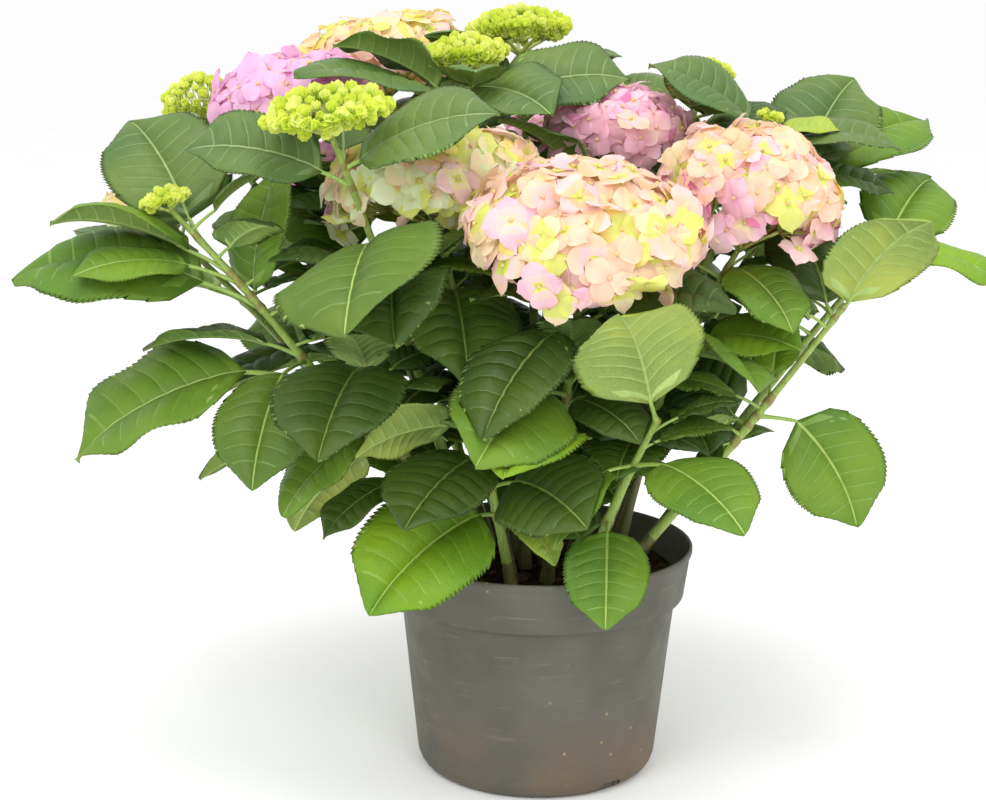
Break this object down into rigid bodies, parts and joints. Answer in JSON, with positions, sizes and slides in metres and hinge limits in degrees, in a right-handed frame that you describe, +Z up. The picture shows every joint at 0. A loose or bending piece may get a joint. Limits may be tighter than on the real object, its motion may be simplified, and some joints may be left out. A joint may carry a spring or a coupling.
{
  "type": "potted mophead hydrangea shrub",
  "caption": "Flowering patio shrub in a round tapering nursery pot: broad toothed leaves in pairs on arching canes, domed flower heads and flat green buds.",
  "frame": {"origin": "centre of the pot's flat underside, at ground level", "axes": "+Z up; -Y towards the viewer of the plant's best side; +X to that viewer's right, along the crown's longest spread"},
  "size_m": [0.7429, 0.5964, 0.587],
  "materials": {
    "pot": "dull grey moulded plastic with faint soil stains near its heel",
    "soil": "dark moist peat compost",
    "cane": "green to straw-brown canes with raised nodes",
    "leaf": "satin, pleated between the side veins, paler beneath",
    "peach": "soft matt petals, peach and cream with pink",
    "cream": "soft matt petals, cream to yellow-green",
    "pink": "soft matt petals, mid pink",
    "lilac": "soft matt petals, lilac pink",
    "lime": "small closed buds, bright lime"
  },
  "bodies": {
    "root": {"pot": "pot", "root_ball": "soil", "cane_front": "cane", "foliage_front": "leaf", "bloom_front": "peach", "cane_right": "cane", "foliage_right": "leaf", "bloom_right": "peach", "cane_middle": "cane", "foliage_middle": "leaf", "bloom_middle": "pink", "cane_left_front": "cane", "foliage_left_front": "leaf", "bloom_left_front": "cream", "cane_left": "cane", "foliage_left": "leaf", "bloom_left": "lilac", "cane_back_left_top": "cane", "foliage_back_left_top": "leaf", "bloom_back_left_top": "cream", "cane_fork": "cane", "foliage_fork": "leaf", "bloom_fork": "lime", "cane_top": "cane", "foliage_top": "leaf", "cane_crown": "cane", "foliage_crown": "leaf", "bloom_crown": "lime", "cane_far_left": "cane", "foliage_far_left": "leaf", "cane_left_low": "cane", "foliage_left_low": "leaf", "cane_right_back": "cane", "foliage_right_back": "leaf", "cane_small": "cane", "foliage_small": "leaf", "cane_far_left_back": "cane", "foliage_far_left_back": "leaf", "cane_arch": "cane", "foliage_arch": "leaf", "cane_front_low": "cane", "foliage_front_low": "leaf", "cane_left_skirt": "cane", "foliage_left_skirt": "leaf", "cane_front_skirt": "cane", "foliage_front_skirt": "leaf", "cane_back": "cane", "foliage_back": "leaf", "bloom_back": "pink", "cane_back_right": "cane", "foliage_back_right": "leaf", "bloom_back_right": "peach", "cane_far_right": "cane", "foliage_far_right": "leaf", "cane_right_rear": "cane", "foliage_right_rear": "leaf", "cane_back_left": "cane", "foliage_back_left": "leaf", "bloom_back_left": "lilac"}
  },
  "joints": []
}
